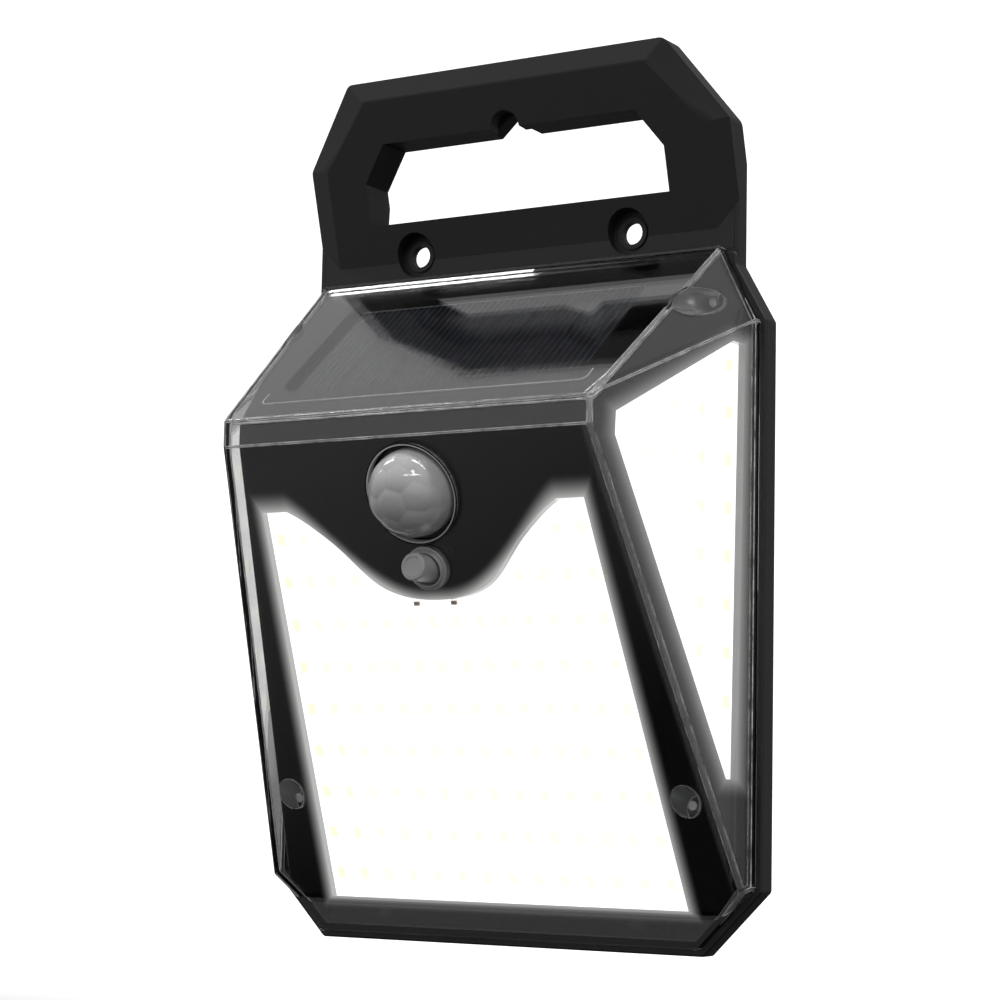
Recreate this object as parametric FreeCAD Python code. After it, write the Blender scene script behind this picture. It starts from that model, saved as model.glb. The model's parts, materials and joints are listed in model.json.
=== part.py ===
import FreeCAD, Part
import math
import os

V = FreeCAD.Vector

# Solar flood light for a wall. Millimetres. X is to the right, the wall is the plane Y = 0,
# the light faces -Y, and Z is up. Heights below are measured from the bottom edge of the body,
# and save() moves every piece so that the origin is on the wall, midway between the wall screws.

# back shell
half_width = 75.0           # the body is 150 wide
bottom_half = 58.7          # half of the flat bottom edge
bottom_chamfer_z = 16.6     # top of the lower corner chamfers
shoulder_z = 161.2          # where the upper chamfers start
neck_half = 66.3            # neck and handle half width
neck_z = 176.5              # where the chamfers meet the neck
rim_depth = 5.4             # the rim of the shell stands this far off the wall
shell_wall = 2.0
shell_corner_round = 1.5
shell_edge_round = 0.6
rib_x = 18.0                # the ribs under the battery: how far out, half thick, high and half long
rib_half = 0.8
rib_front = 4.6
rib_reach = 12.0
ledge_inset = 2.1           # the gasket lies on a ledge that reaches in this far under the flange
ledge_depth = 4.6

# handle, which leans away from the wall above the neck
lean = 0.29                 # forward shift per unit of height
lean_start_z = 203.6        # back of the handle leaves the wall here
handle_side_z = 214.0       # top of the handle's straight sides
handle_top_half = 50.0      # half of its top edge
handle_top_z = 235.8
handle_corner_round = 3.0
handle_face_y = 4.7         # the front face is this far off the wall at screw height
bevel_depth = 2.0           # the front bevel, measured along Y
crease_round = 2.0          # radius of the crease between the face and its bevel
face_side = 59.8            # front face inside the bevel: half width at its sides
face_side_z = 212.8
face_top = 44.2
face_top_z = 230.2
neck_front = 4.2            # front of the neck's rim, which the handle front is let into
neck_foot_z = 180.0         # the rim steps back here
handle_foot_z = 181.0       # bottom edge of the handle front
front_plate = 1.8           # thickness of the part of the handle front that is let in

# opening in the handle, and the hanging notch in the middle of its upper edge
open_side = 47.4
open_low_z = 197.0
open_side_z = 208.6
open_top = 39.9
open_top_z = 218.5
open_draft = 2.3            # the opening is this much smaller at the back
open_step = 0.35            # the shell's part of the opening stands back from the handle front's
notch_radius = 4.45
notch_back_half = 6.4
notch_back_rise = 4.5

# wall screws
screw_x = 33.7
screw_z = 188.2
counterbore_r = 6.1
counterbore_floor = 1.6     # distance of the counterbore's floor from the wall
screw_hole_r = 3.0
screw_boss_r = 7.6
screw_collar_r = 4.3        # low collar round the through hole, on the counterbore's floor
screw_collar_high = 0.7

# clear cover: a low faceted hood
flange_inset = 1.8          # the cover's flange stands in from the shell's outline
flange_y = 7.9              # front of the flange
apex_x = 62.7
apex_y = 7.0
apex_z = 181.1
brow_x = 55.5
brow_y = 60.7
brow_z = 135.5
band_z = 128.4              # bottom of the upright band under the brow
front_slope = 0.448         # the front facet's run per unit of height
cover_wall = 1.8
ridge_round = 1.2           # outside radius of the cover's ridges and corners
ridge_round_in = 0.6        # inside radius
boss_x = 60.5
boss_low_z = 39.0
boss_high_z = 164.0
boss_high_x = 62.0
boss_r = 4.0

cover_screw_bite = 7.0      # how far the cover screws reach into the cover's bosses
screw_head_r = 2.6
head_sink = 2.4             # how deep the heads of the screws from behind are let in

# bezel and what it carries
bezel_inset = 2.4
bezel_wall = 1.8
bezel_round = 0.9
bezel_side_gap = 2.1        # the bezel's sides stand in from the cover by this much more
window_top_half = 48.7
window_top_z = 112.1
window_low_half = 55.0
window_low_z = 11.6
board_inset = bezel_inset + bezel_wall + 0.1
board_thick = 1.2
chip_wide = 2.8
chip_long = 3.5
chip_high = 0.8
drain_x = 39.0              # notches in the bezel's foot
drain_half = 2.6

# motion sensor and push button, on the centre line
pir_z = 114.4
pir_hole_r = 13.1
lens_r = 11.5
lens_wall = 0.8
button_z = 96.2
button_r = 3.6
button_hole_r = 4.15
boot_r = 5.9
button_out = 6.6            # how far the button stands out of the front facet
button_lip_r = 5.2
button_lip_thick = 0.8

# control board, battery and the solar panel
board_y = 32.0              # back of the control board
board_front = board_y + board_thick
spacer_high = 8.6           # under the motion sensor
switch_high = 3.5
switch_front = board_front + switch_high
plunger_front = switch_front + 1.8
battery_r = 9.2
battery_length = 65.0
battery_z = 72.0
battery_y = 12.0
panel_half = 49.0
panel_slope_length = 50.0
panel_low_z = 143.6
panel_thick = 2.0

far = 400.0                 # larger than the whole light

front_angle = math.atan(front_slope)
front_up = V(0, -math.sin(front_angle), math.cos(front_angle))
front_normal = V(0, -math.cos(front_angle), -math.sin(front_angle))
top_length = math.hypot(brow_y - apex_y, apex_z - brow_z)
top_up = V(0, (brow_y - apex_y) / top_length, (apex_z - brow_z) / top_length)
top_normal = V(0, -top_up.z, top_up.y)
side_x = half_width - flange_inset
side_run = math.hypot(side_x - brow_x, brow_y - flange_y)
side_back = V((side_x - brow_x) / side_run, (brow_y - flange_y) / side_run, 0)
side_normal = V(side_back.y, -side_back.x, 0)
seam_bend_z = screw_z + (neck_front + bevel_depth - handle_face_y) / lean


def flange_corners(inset=0.0):
    """Right-hand corners of the cover's flange, from the bottom up, moved in by inset.

    Along its other axis a corner slides by the part of the inset that keeps the chamfers even.
    """
    side = half_width - flange_inset
    return [(bottom_half - 0.8 - 0.4 * inset, flange_inset + inset),
            (side - inset, bottom_chamfer_z + 0.8 + 0.4 * inset),
            (side - inset, shoulder_z - 0.4 - 0.3 * inset), (apex_x - 0.6 * inset, apex_z - inset)]


def front_y(z):
    """Y of the front facet's outside at height z."""
    return -brow_y + front_slope * (band_z - z)


def outline(right):
    """Closed list of (x, z) points from the right-hand points, mirrored to the left."""
    return right + [(-x, z) for x, z in reversed(right)]


def prism_y(points, y_near, y_far):
    """Solid with an (x, z) outline between two distances from the wall."""
    corners = [V(x, -y_near, z) for x, z in points]
    face = Part.Face(Part.makePolygon(corners + corners[:1]))
    return face.extrude(V(0, y_near - y_far, 0))


def prism_x(points, x_low, x_high):
    """Solid with a (y, z) outline between two X positions."""
    corners = [V(x_low, y, z) for y, z in points]
    face = Part.Face(Part.makePolygon(corners + corners[:1]))
    return face.extrude(V(x_high - x_low, 0, 0))


def box(x_low, x_high, y_low, y_high, z_low, z_high):
    return Part.makeBox(x_high - x_low, y_high - y_low, z_high - z_low, V(x_low, y_low, z_low))


def rod(radius, start, direction, length):
    return Part.makeCylinder(radius, length, start, direction)


def placed(shape, origin, along, up, normal):
    """Moves a shape drawn in X (along), Y (up), Z (normal) onto a facet."""
    matrix = FreeCAD.Matrix(along.x, up.x, normal.x, origin.x, along.y, up.y, normal.y, origin.y,
                            along.z, up.z, normal.z, origin.z, 0, 0, 0, 1)
    moved = shape.copy()
    moved.Placement = FreeCAD.Placement(matrix).multiply(shape.Placement)
    return moved


def on_front(shape, z, inset):
    """Puts a shape drawn flat onto the front facet, its zero at height z, inset from outside."""
    origin = V(0, front_y(z), z) - front_normal * inset
    return placed(shape, origin, V(1, 0, 0), front_up, front_normal)


def on_top(shape, z, inset):
    """Puts a shape drawn flat onto the sloping top facet, its zero at height z."""
    reach = (z - brow_z) / top_up.z
    origin = V(0, -brow_y, brow_z) + top_up * reach - top_normal * inset
    return placed(shape, origin, V(1, 0, 0), top_up, top_normal)


def on_side(shape, z, inset):
    """Puts a shape drawn flat (X to the wall, Y up) onto the right-hand side facet."""
    origin = V(side_x, -flange_y, z) - side_normal * inset
    return placed(shape, origin, side_back, V(0, 0, 1), side_normal)


def mirrored(shape):
    return shape.mirror(V(0, 0, 0), V(1, 0, 0))


def cut_beyond(shape, point, normal):
    """Removes everything on the side of a plane that its normal points to."""
    block = Part.makeBox(2 * far, 2 * far, far, V(-far, -far, 0))
    block.Placement = FreeCAD.Placement(point, FreeCAD.Rotation(V(0, 0, 1), normal))
    return shape.cut(block)


def shell_outline(inset):
    """The back shell's outline, body and handle together, moved in by inset."""
    return [(bottom_half - 0.4 * inset, inset), (half_width - inset, bottom_chamfer_z + 0.4 * inset),
            (half_width - inset, shoulder_z - 0.3 * inset), (neck_half - inset, neck_z - 0.3 * inset),
            (neck_half - inset, handle_side_z - 0.3 * inset),
            (handle_top_half - 0.5 * inset, handle_top_z - inset)]


def face_plane(z):
    """Distance of the handle's leaning front face from the wall."""
    return handle_face_y + lean * (z - screw_z)


def handle_back(z):
    """Distance of the handle's leaning back from the wall."""
    return lean * (z - lean_start_z)


def seam(z):
    """Distance of the seam between the back shell and the handle front."""
    return face_plane(z) - bevel_depth


def side_profile(back_off, front_off):
    """Solid across the light between its back and its seam, each moved forward by an amount."""
    points = [(-back_off, -1), (-back_off, lean_start_z),
              (-handle_back(handle_top_z) - back_off, handle_top_z),
              (-seam(handle_top_z) - front_off, handle_top_z), (-neck_front - front_off, seam_bend_z),
              (-neck_front - front_off, neck_foot_z), (-rim_depth - front_off, neck_foot_z),
              (-rim_depth - front_off, -1)]
    return prism_x(points, -100, 100)


def leaning_loop(right, distance):
    """Closed loop of the mirrored (x, z) points at a distance from the wall that varies with z."""
    corners = [V(x, -distance(z), z) for x, z in outline(right)]
    return Part.makePolygon(corners + corners[:1])


def opening_solid(grow):
    """The hole through the handle, tapering towards the back."""
    front = [(open_side + grow, open_low_z - grow), (open_side + grow, open_side_z + 0.4 * grow),
             (open_top + 0.4 * grow, open_top_z + grow)]
    back = [(x - open_draft, z + (open_draft if z < open_side_z - 1 else -0.5 * open_draft))
            for x, z in front]
    wires = [leaning_loop(front, lambda z: face_plane(z) + 0.5),
             leaning_loop(back, lambda z: handle_back(z) - 4.0)]
    return Part.makeLoft(wires, True, True)


def notch_tools(grow):
    """Half-round notch in front and V notch behind, in the opening's upper edge."""
    face = face_plane(open_top_z)
    half_round = rod(notch_radius + grow, V(0, -face - 3, open_top_z), V(0, 1, 0), 7.0)
    low = open_top_z - 0.5 * open_draft - 0.6
    half = notch_back_half + 2 * grow
    top = open_top_z - 0.5 * open_draft + notch_back_rise + grow
    vee = prism_y([(half + 0.9, low), (0.5, top), (-0.5, top), (-half - 0.9, low)], -4, face - 4.0)
    return [half_round, vee]


def cover_screw_places():
    return [(boss_x, boss_low_z), (boss_high_x, boss_high_z)]


def handle_screw_places():
    return [(-57.0, 206.0), (57.0, 206.0), (0.0, 230.0)]


def edges_along_y(shape):
    """Edges that run straight away from the wall."""
    return [edge for edge in shape.Edges
            if math.hypot(edge.BoundBox.XLength, edge.BoundBox.ZLength) < 0.2 * edge.Length]


def rounded_body():
    """Outside of the back shell with round corners and a soft rim round the body."""
    body = prism_y(outline(shell_outline(0)), -10, 60).common(side_profile(0, 0)).removeSplitter()
    corners = edges_along_y(body)
    high = [edge for edge in corners if edge.BoundBox.ZMin > lean_start_z]
    body = body.makeFillet(handle_corner_round, high)
    body = body.makeFillet(shell_corner_round,
                           [edge for edge in edges_along_y(body) if edge.BoundBox.ZMax < lean_start_z])
    rim = [edge for edge in body.Edges if edge.BoundBox.YLength < 0.01
           and abs(edge.BoundBox.YMin + rim_depth) < 0.01 and edge.BoundBox.ZMax < neck_foot_z - 0.1]
    return body.makeFillet(shell_edge_round, rim)


def back_shell():
    body = rounded_body()
    neck_pocket = prism_y(outline(shell_outline(shell_wall)), -10, 60)
    neck_pocket = neck_pocket.common(side_profile(shell_wall, 20))
    neck_pocket = neck_pocket.cut(box(-100, 100, -60, 20, -5, neck_foot_z + 1))
    pocket = prism_y(outline(flange_corners(ledge_inset)), shell_wall, 60)
    pocket = pocket.multiFuse([prism_y(outline(flange_corners(0.2)), ledge_depth, 60), neck_pocket])
    kept = [opening_solid(shell_wall)] + notch_tools(shell_wall)
    boss_top = neck_front - front_plate
    for side in (-1, 1):
        kept.append(rod(screw_boss_r, V(side * screw_x, 0, screw_z), V(0, -1, 0), boss_top))
        for x, z in cover_screw_places():
            kept.append(rod(boss_r, V(side * x, 0, z), V(0, -1, 0), rim_depth - 0.4))
        kept.append(box(side * rib_x - rib_half, side * rib_x + rib_half, -rib_front, 0,
                        battery_z - rib_reach, battery_z + rib_reach))
    for x, z in handle_screw_places():
        kept.append(rod(3.0, V(x, 0, z), V(0, -1, 0), seam(z) - front_plate))
    pocket = pocket.cut(kept[0].multiFuse(kept[1:]))
    holes = [pocket, opening_solid(open_step)] + notch_tools(open_step)
    for side in (-1, 1):
        floor = V(side * screw_x, -counterbore_floor, screw_z)
        collar = rod(screw_collar_r, floor, V(0, -1, 0), screw_collar_high)
        holes.append(rod(screw_hole_r, V(side * screw_x, 5, screw_z), V(0, -1, 0), 40))
        holes.append(rod(counterbore_r, floor, V(0, -1, 0), 9).cut(collar))
        for x, z in cover_screw_places():
            holes.append(rod(1.6, V(side * x, 5, z), V(0, -1, 0), 40))
            holes.append(rod(screw_head_r + 0.3, V(side * x, 5, z), V(0, -1, 0), 5 + head_sink))
    holes.append(rod(battery_r + 0.05, V(-40, -battery_y, battery_z), V(1, 0, 0), 80))
    for x, z in strap_screw_places():
        holes.append(rod(1.25, V(x, -0.6, z), V(0, -1, 0), 5))
    for x, z in handle_screw_places():
        behind = max(0.0, handle_back(z))
        holes.append(rod(1.2, V(x, 5, z), V(0, -1, 0), 60))
        holes.append(rod(screw_head_r + 0.2, V(x, 5, z), V(0, -1, 0), 5 + behind + head_sink))
    # the handle front is let into the rim
    plate = handle_plate(0.1, 30)
    return body.cut(holes[0].multiFuse(holes[1:] + [plate]))


def handle_plate(gap, ahead):
    """The slab of the handle front that lies inside the shell's rim."""
    inner = [(neck_half - shell_wall + 0.6 + gap, handle_foot_z - gap),
             (neck_half - shell_wall + 0.6 + gap, handle_side_z - 0.4),
             (handle_top_half - 0.8, handle_top_z - shell_wall + 0.6 + gap)]
    plate = prism_y(outline(inner), -10, 60)
    return plate.common(side_profile(neck_front - front_plate, ahead)).cut(seam_back(front_plate))


def seam_back(depth):
    """Everything more than a depth behind the seam."""
    points = [(20, 150), (20, 260), (-seam(260) + depth, 260), (-neck_front + depth, seam_bend_z),
              (-neck_front + depth, 150)]
    return prism_x(points, -120, 120)


def handle_front():
    """Front of the handle: a leaning bevelled face on a plate that the shell's rim holds."""
    edge = [(neck_half, 150), (neck_half, handle_side_z), (handle_top_half, handle_top_z)]
    face = [(face_side, 150), (face_side, face_side_z), (face_top, face_top_z)]
    cap = Part.makeLoft([leaning_loop(edge, seam), leaning_loop(face, face_plane)], True, True)
    crease = [line for line in cap.Edges if line.BoundBox.ZMax > neck_foot_z
              and all(abs(end.Y + face_plane(end.Z)) < 0.01 for end in line.Vertexes)]
    cap = cap.makeFillet(crease_round, crease)
    rounded = prism_y(outline(edge), -10, 60)
    rounded = rounded.makeFillet(handle_corner_round, [line for line in edges_along_y(rounded)
                                                       if line.BoundBox.ZMin > handle_foot_z])
    cap = cap.common(rounded)
    ahead = prism_x([(-neck_front, handle_foot_z), (-60, handle_foot_z), (-60, 260),
                     (-seam(260), 260), (-neck_front, seam_bend_z)], -120, 120)
    piece = cap.common(ahead).fuse(handle_plate(0, 0))
    holes = [opening_solid(0)] + notch_tools(0)
    for side in (-1, 1):
        holes.append(rod(counterbore_r, V(side * screw_x, 0, screw_z), V(0, -1, 0), 20))
    for x, z in handle_screw_places():
        holes.append(rod(1.2, V(x, 0, z), V(0, -1, 0), face_plane(z) - 1.2))
    return piece.cut(holes[0].multiFuse(holes[1:])).removeSplitter()


def hood(inset, start=rim_depth, side_gap=0.0):
    """The cover's faceted form with every facet moved in by inset, the side facets by more."""
    solid = prism_y(outline(flange_corners(inset)), start, 70)
    top_point = V(0, -brow_y, brow_z)
    solid = cut_beyond(solid, top_point - top_normal * inset, top_normal)
    solid = cut_beyond(solid, V(0, -brow_y + inset, brow_z), V(0, -1, 0))
    solid = cut_beyond(solid, V(0, front_y(band_z), band_z) - front_normal * inset, front_normal)
    shoulder = V(side_x, -flange_y, shoulder_z - 0.4)
    brow = V(brow_x, -brow_y, brow_z)
    apex = V(apex_x, -apex_y, apex_z)
    upper = (brow - shoulder).cross(apex - shoulder)
    upper.normalize()
    if upper.x < 0:
        upper = upper * -1
    corner = flange_corners()
    low_edge = V(corner[1][0] - corner[0][0], 0, corner[1][1] - corner[0][1])
    low_normal = V(low_edge.z, 0, -low_edge.x)
    low_normal.normalize()
    high_edge = V(corner[3][0] - corner[2][0], 0, corner[3][1] - corner[2][1])
    high_normal = V(high_edge.z, 0, -high_edge.x)
    high_normal.normalize()
    for sign in (1, -1):
        for point, normal, depth in ((V(side_x, -flange_y, 0), side_normal, inset + side_gap),
                                     (shoulder, upper, inset),
                                     (V(corner[0][0], 0, corner[0][1]), low_normal, inset),
                                     (V(corner[2][0], 0, corner[2][1]), high_normal, inset)):
            inner = point - normal * depth
            solid = cut_beyond(solid, V(sign * inner.x, inner.y, inner.z),
                               V(sign * normal.x, normal.y, normal.z))
    solid = cut_beyond(solid, V(0, 0, flange_inset + inset), V(0, 0, -1))
    return cut_beyond(solid, V(0, 0, apex_z - inset), V(0, 0, 1))


def rounded_hood(inset, radius, start=rim_depth, side_gap=0.0):
    """The hood with its ridges rounded."""
    solid = hood(inset, start, side_gap)
    ridges = [edge for edge in solid.Edges if edge.BoundBox.YMin < -start - 1]
    return solid.makeFillet(radius, ridges)


def clear_cover():
    flange = prism_y(outline(flange_corners()), rim_depth, flange_y)
    flange = flange.makeFillet(ridge_round, edges_along_y(flange))
    solid = rounded_hood(0, ridge_round).fuse(flange).removeSplitter()
    solid = solid.cut(rounded_hood(cover_wall, ridge_round_in))
    bosses = []
    for side in (-1, 1):
        for x, z in cover_screw_places():
            bosses.append(rod(boss_r, V(side * x, -rim_depth, z), V(0, -1, 0), 60))
    solid = solid.fuse([boss.common(hood(0)) for boss in bosses])
    for side in (-1, 1):
        for x, z in cover_screw_places():
            solid = solid.cut(rod(1.3, V(side * x, -rim_depth + 1, z), V(0, -1, 0), cover_screw_bite + 1.5))
    solid = solid.cut(on_front(rod(pir_hole_r, V(0, 0, -9), V(0, 0, 1), 18), pir_z, 0))
    return solid.cut(rod(button_hole_r, V(0, -30, button_z), V(0, -1, 0), 40))


def cover_gasket():
    ring = prism_y(outline(flange_corners(0.3)), ledge_depth, rim_depth)
    return ring.cut(prism_y(outline(flange_corners(2.0)), 0, 20))


def window_edge(grow):
    """Face of the front window: straight sides and foot, and a dip round the sensor and button.

    The points of the dip's curve run from its right-hand end to the middle.
    """
    low = window_low_z - grow
    high = window_top_z + grow
    dip = [V(41.0 - grow, 0, high), V(36.6 - grow, 0, 109.7 + grow), V(31.8 - grow, 0, 106.3 + grow),
           V(26.8 - grow, 0, 102.2 + grow), V(21.4 - grow, 0, 96.7 + grow),
           V(16.0 - 0.6 * grow, 0, 92.4 + grow), V(9.0, 0, 89.8 + grow), V(0, 0, 88.9 + grow)]
    dip = dip + [V(-p.x, 0, p.z) for p in reversed(dip[:-1])]
    curve = Part.BSplineCurve()
    curve.interpolate(dip)
    right_top = V(window_top_half + grow, 0, high)
    right_low = V(window_low_half + grow, 0, low)
    left_top = V(-right_top.x, 0, high)
    left_low = V(-right_low.x, 0, low)
    edges = [curve.toShape()]
    corners = [dip[-1], left_top, left_low, right_low, right_top, dip[0]]
    for start, end in zip(corners, corners[1:]):
        edges.append(Part.makeLine(start, end))
    return Part.Face(Part.Wire(Part.sortEdges(edges)[0]))


def window_prism(grow):
    return window_edge(grow).extrude(V(0, -70, 0))


def side_window(grow):
    """Prism through the right-hand side window, with its (y, z) corners."""
    points = [(-10.6 - 0.6 * grow, 155.3 + grow), (-6.6 + grow, 154.8 + grow),
              (-8.0 + grow, 44.5 - grow), (-11.6 - 0.5 * grow, 44.5 - grow),
              (-48.4 - grow, 127.2), (-48.2 - grow, 133.0 + 0.7 * grow)]
    return prism_x(points, 45, 90)


def front_rod(radius, z, w_low, w_high):
    """Cylinder square to the front facet, between two heights above its outside."""
    return on_front(rod(radius, V(0, 0, w_low), V(0, 0, 1), w_high - w_low), z, 0)


def rounded_plate(half, length, radius, thick):
    """Flat plate with round corners, its lower edge on X, from Z = 0 up."""
    plate = box(-half, half, 0, length, 0, thick)
    corners = [edge for edge in plate.Edges if abs(edge.Vertexes[0].X - edge.Vertexes[1].X) < 0.01
               and abs(edge.Vertexes[0].Y - edge.Vertexes[1].Y) < 0.01]
    return plate.makeFillet(radius, corners)


def bezel():
    solid = rounded_hood(bezel_inset, bezel_round, shell_wall, bezel_side_gap)
    solid = solid.cut(hood(bezel_inset + bezel_wall, shell_wall - 1, bezel_side_gap))
    posts = [rod(2.4, V(x, -board_front, z), V(0, -1, 0), 60).common(hood(bezel_inset + 0.5))
             for x, z in board_screw_places()]
    solid = solid.fuse(posts)
    holes = [window_prism(0), side_window(0), mirrored(side_window(0))]
    panel_hole = rounded_plate(panel_half - 2, panel_slope_length - 4, 6.0, 12)
    holes.append(on_top(panel_hole, panel_low_z + 1.3, bezel_inset + 8))
    holes.append(front_rod(lens_r + 0.2, pir_z, -9, 3))
    holes.append(rod(button_hole_r, V(0, -36, button_z), V(0, -1, 0), 20))
    for side in (-1, 1):
        for x, z in cover_screw_places():
            holes.append(rod(boss_r + 0.2, V(side * x, 0, z), V(0, -1, 0), 60))
        holes.append(box(side * drain_x - drain_half, side * drain_x + drain_half, -12, -3.0, 2, 8.6))
    for x, z in board_screw_places():
        holes.append(rod(0.9, V(x, -board_y, z), V(0, -1, 0), 6))
    return solid.cut(holes[0].multiFuse(holes[1:]))


def front_led_board():
    floor = shell_wall + 0.1
    layer = hood(board_inset, floor, bezel_side_gap)
    layer = layer.cut(hood(board_inset + board_thick, floor, bezel_side_gap))
    return layer.common(window_prism(1.6))


def right_led_board():
    layer = hood(board_inset, rim_depth, bezel_side_gap)
    layer = layer.cut(hood(board_inset + board_thick, rim_depth, bezel_side_gap))
    return layer.common(side_window(1.4))


def chip_block():
    return box(-chip_wide / 2, chip_wide / 2, -chip_long / 2, chip_long / 2, 0, chip_high)


def window_half(z):
    """Half width of the front window at height z."""
    part = (z - window_low_z) / (window_top_z - window_low_z)
    return window_low_half + part * (window_top_half - window_low_half)


def dip_half(z):
    """Half width that the sensor's dip takes out of the window at height z."""
    if z < 88.0:
        return 0.0
    return 17.0 + (z - 88.0)


def front_led_chips():
    rows = 9
    columns = 14
    first_z = 16.6
    pitch_z = 10.9
    chips = []
    for row in range(rows):
        z = first_z + row * pitch_z
        half = window_half(z) - 3.6
        for column in range(columns):
            x = -half + 2 * half * column / (columns - 1)
            if abs(x) > dip_half(z):
                chip = chip_block()
                chip.translate(V(x, 0, 0))
                chips.append(on_front(chip, z, board_inset))
    return Part.makeCompound(chips)


def side_slant_y(z):
    """Distance along the side facet of its window's front edge, at height z."""
    if z > 127.2:
        return -(48.2 - 37.6 * (z - 133.0) / 22.3)
    return -(11.6 + 36.8 * (z - 44.5) / 82.7)


def right_led_chips():
    """Rows of chips across the side window, from its edge by the wall to its slanting edge."""
    chips = []
    rows = 9
    inset = board_inset + bezel_side_gap
    start_y = -flange_y - side_normal.y * inset
    for row in range(rows):
        z = 51.6 + row * 12.2
        y = -10.2
        while y > side_slant_y(z) + 5.8:
            chip = chip_block()
            chip.translate(V((y - start_y) / side_back.y, 0, 0))
            chips.append(on_side(chip, z, inset))
            y -= 9.0
    return Part.makeCompound(chips)


def indicator_leds():
    """Two small lamps under the button, a little left of the centre line."""
    lamps = []
    for x in (-7.6, 3.8):
        lamp = box(-0.8, 0.8, -0.5, 0.5, 0, 0.6)
        lamp.translate(V(x, 0, 0))
        lamps.append(on_front(lamp, 86.7, board_inset))
    return Part.makeCompound(lamps)


def solar_panel():
    plate = rounded_plate(panel_half, panel_slope_length, 2.0, panel_thick)
    return on_top(plate, panel_low_z, board_inset + 0.2 + panel_thick)


def solar_cells():
    """Row of cells in a shallow layer on the panel, side by side."""
    cells = []
    count = 6
    pitch = (2 * panel_half - 6) / count
    for index in range(count):
        left = -panel_half + 3 + index * pitch
        cells.append(box(left + 0.3, left + pitch - 0.3, 3, panel_slope_length - 3, 0, 0.15))
    return Part.makeCompound([on_top(cell, panel_low_z, board_inset + 0.2) for cell in cells])


def pir_lens():
    """Domed lens with a short neck and a flange behind the bezel."""
    base = -1.1
    flange_top = -bezel_inset - bezel_wall - 0.7
    dome = Part.makeSphere(lens_r, V(0, 0, base)).cut(Part.makeSphere(lens_r - lens_wall, V(0, 0, base)))
    dome = dome.common(box(-20, 20, -20, 20, base, 20))
    neck = rod(lens_r, V(0, 0, flange_top), V(0, 0, 1), base - flange_top)
    lip = rod(lens_r + 1.7, V(0, 0, flange_top - 1), V(0, 0, 1), 1.0)
    solid = dome.fuse(neck.fuse(lip).cut(rod(lens_r - lens_wall, V(0, 0, -12), V(0, 0, 1), 12 + base)))
    return on_front(solid.removeSplitter(), pir_z, 0)


def lens_seal():
    top = -bezel_inset - bezel_wall
    ring = rod(lens_r + 1.7, V(0, 0, top - 0.7), V(0, 0, 1), 0.7)
    return on_front(ring.cut(rod(lens_r + 0.2, V(0, 0, top - 2), V(0, 0, 1), 4)), pir_z, 0)


def pir_spacer():
    block = rod(4.7, V(0, -board_front, pir_z), V(0, -1, 0), spacer_high)
    return block.cut(rod(3.4, V(0, -board_front, pir_z), V(0, -1, 0), spacer_high - 1.0))


def pir_sensor():
    start = board_front + spacer_high
    can = rod(4.1, V(0, -start, pir_z), V(0, -1, 0), 4.2)
    brim = rod(4.6, V(0, -start, pir_z), V(0, -1, 0), 0.6)
    window = box(-2.0, 2.0, -start - 4.3, -start - 4.0, pir_z - 1.5, pir_z + 1.5)
    return can.fuse([brim, window]).removeSplitter()


def push_button():
    """Soft plunger: a stem through bezel and cover with a retaining lip behind."""
    tip = -front_y(button_z) + button_out
    stem = rod(button_r, V(0, -plunger_front, button_z), V(0, -1, 0), tip - plunger_front)
    rim = [edge for edge in stem.Edges if edge.BoundBox.YMax < -tip + 0.01]
    stem = stem.makeFillet(0.6, rim)
    lip = rod(button_lip_r, V(0, -plunger_front + 0.2, button_z), V(0, -1, 0), button_lip_thick)
    recess = rod(2.0, V(0, -plunger_front + 1, button_z), V(0, -1, 0), 1.0)
    return stem.fuse(lip).cut(recess).removeSplitter()


def tact_plunger():
    depth = 3.6
    return rod(1.75, V(0, -plunger_front + depth, button_z), V(0, -1, 0), depth)


def tact_switch():
    body = box(-3, 3, -switch_front, -board_front, button_z - 3, button_z + 3)
    return body.cut(rod(1.95, V(0, -board_front - 0.4, button_z), V(0, -1, 0), 8))


def button_boot():
    """Thin washer round the stem, between the cover and the bezel."""
    disc = on_front(rod(boot_r, V(0, 0, -bezel_inset + 0.05), V(0, 0, 1), 0.5), button_z, 0)
    return disc.cut(rod(button_hole_r - 0.1, V(0, -30, button_z), V(0, -1, 0), 40))


def board_screw_places():
    return [(-17.0, 100.2), (17.0, 100.2), (-17.0, 123.0), (17.0, 123.0)]


def control_board():
    plate = box(-21, 21, -board_front, -board_y, 88.5, 127)
    for x, z in board_screw_places():
        plate = plate.cut(rod(1.2, V(x, 0, z), V(0, -1, 0), 60))
    return plate


def board_components():
    """Controller, drivers, capacitor, coil and the row of lead connectors."""
    front = -board_front
    pieces = [box(-15, -9, front - 1.6, front, 104, 110), box(9, 13, front - 1.2, front, 104, 109),
              rod(2.5, V(-12, front, 98.5), V(0, -1, 0), 6.0),
              rod(2.9, V(11.0, front, 98.6), V(0, -1, 0), 3.2)]
    for index in range(4):
        pieces.append(box(-1 + index * 3.4, 0 + index * 3.4, front - 0.6, front, 103, 105))
    for x in (-12.0, 0.0, 12.0):
        pieces.append(box(x - 3, x + 3, -board_y, -board_y + 5.0, 96, 101))
    return Part.makeCompound(pieces)


def battery_cell():
    half = battery_length / 2
    cell = rod(battery_r, V(-half, -battery_y, battery_z), V(1, 0, 0), battery_length - 1)
    button = rod(3.0, V(half - 1, -battery_y, battery_z), V(1, 0, 0), 1.0)
    return cell.fuse(button)


def strap_screw_places():
    return [(0.0, battery_z - 14.0), (0.0, battery_z + 14.0)]


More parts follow.
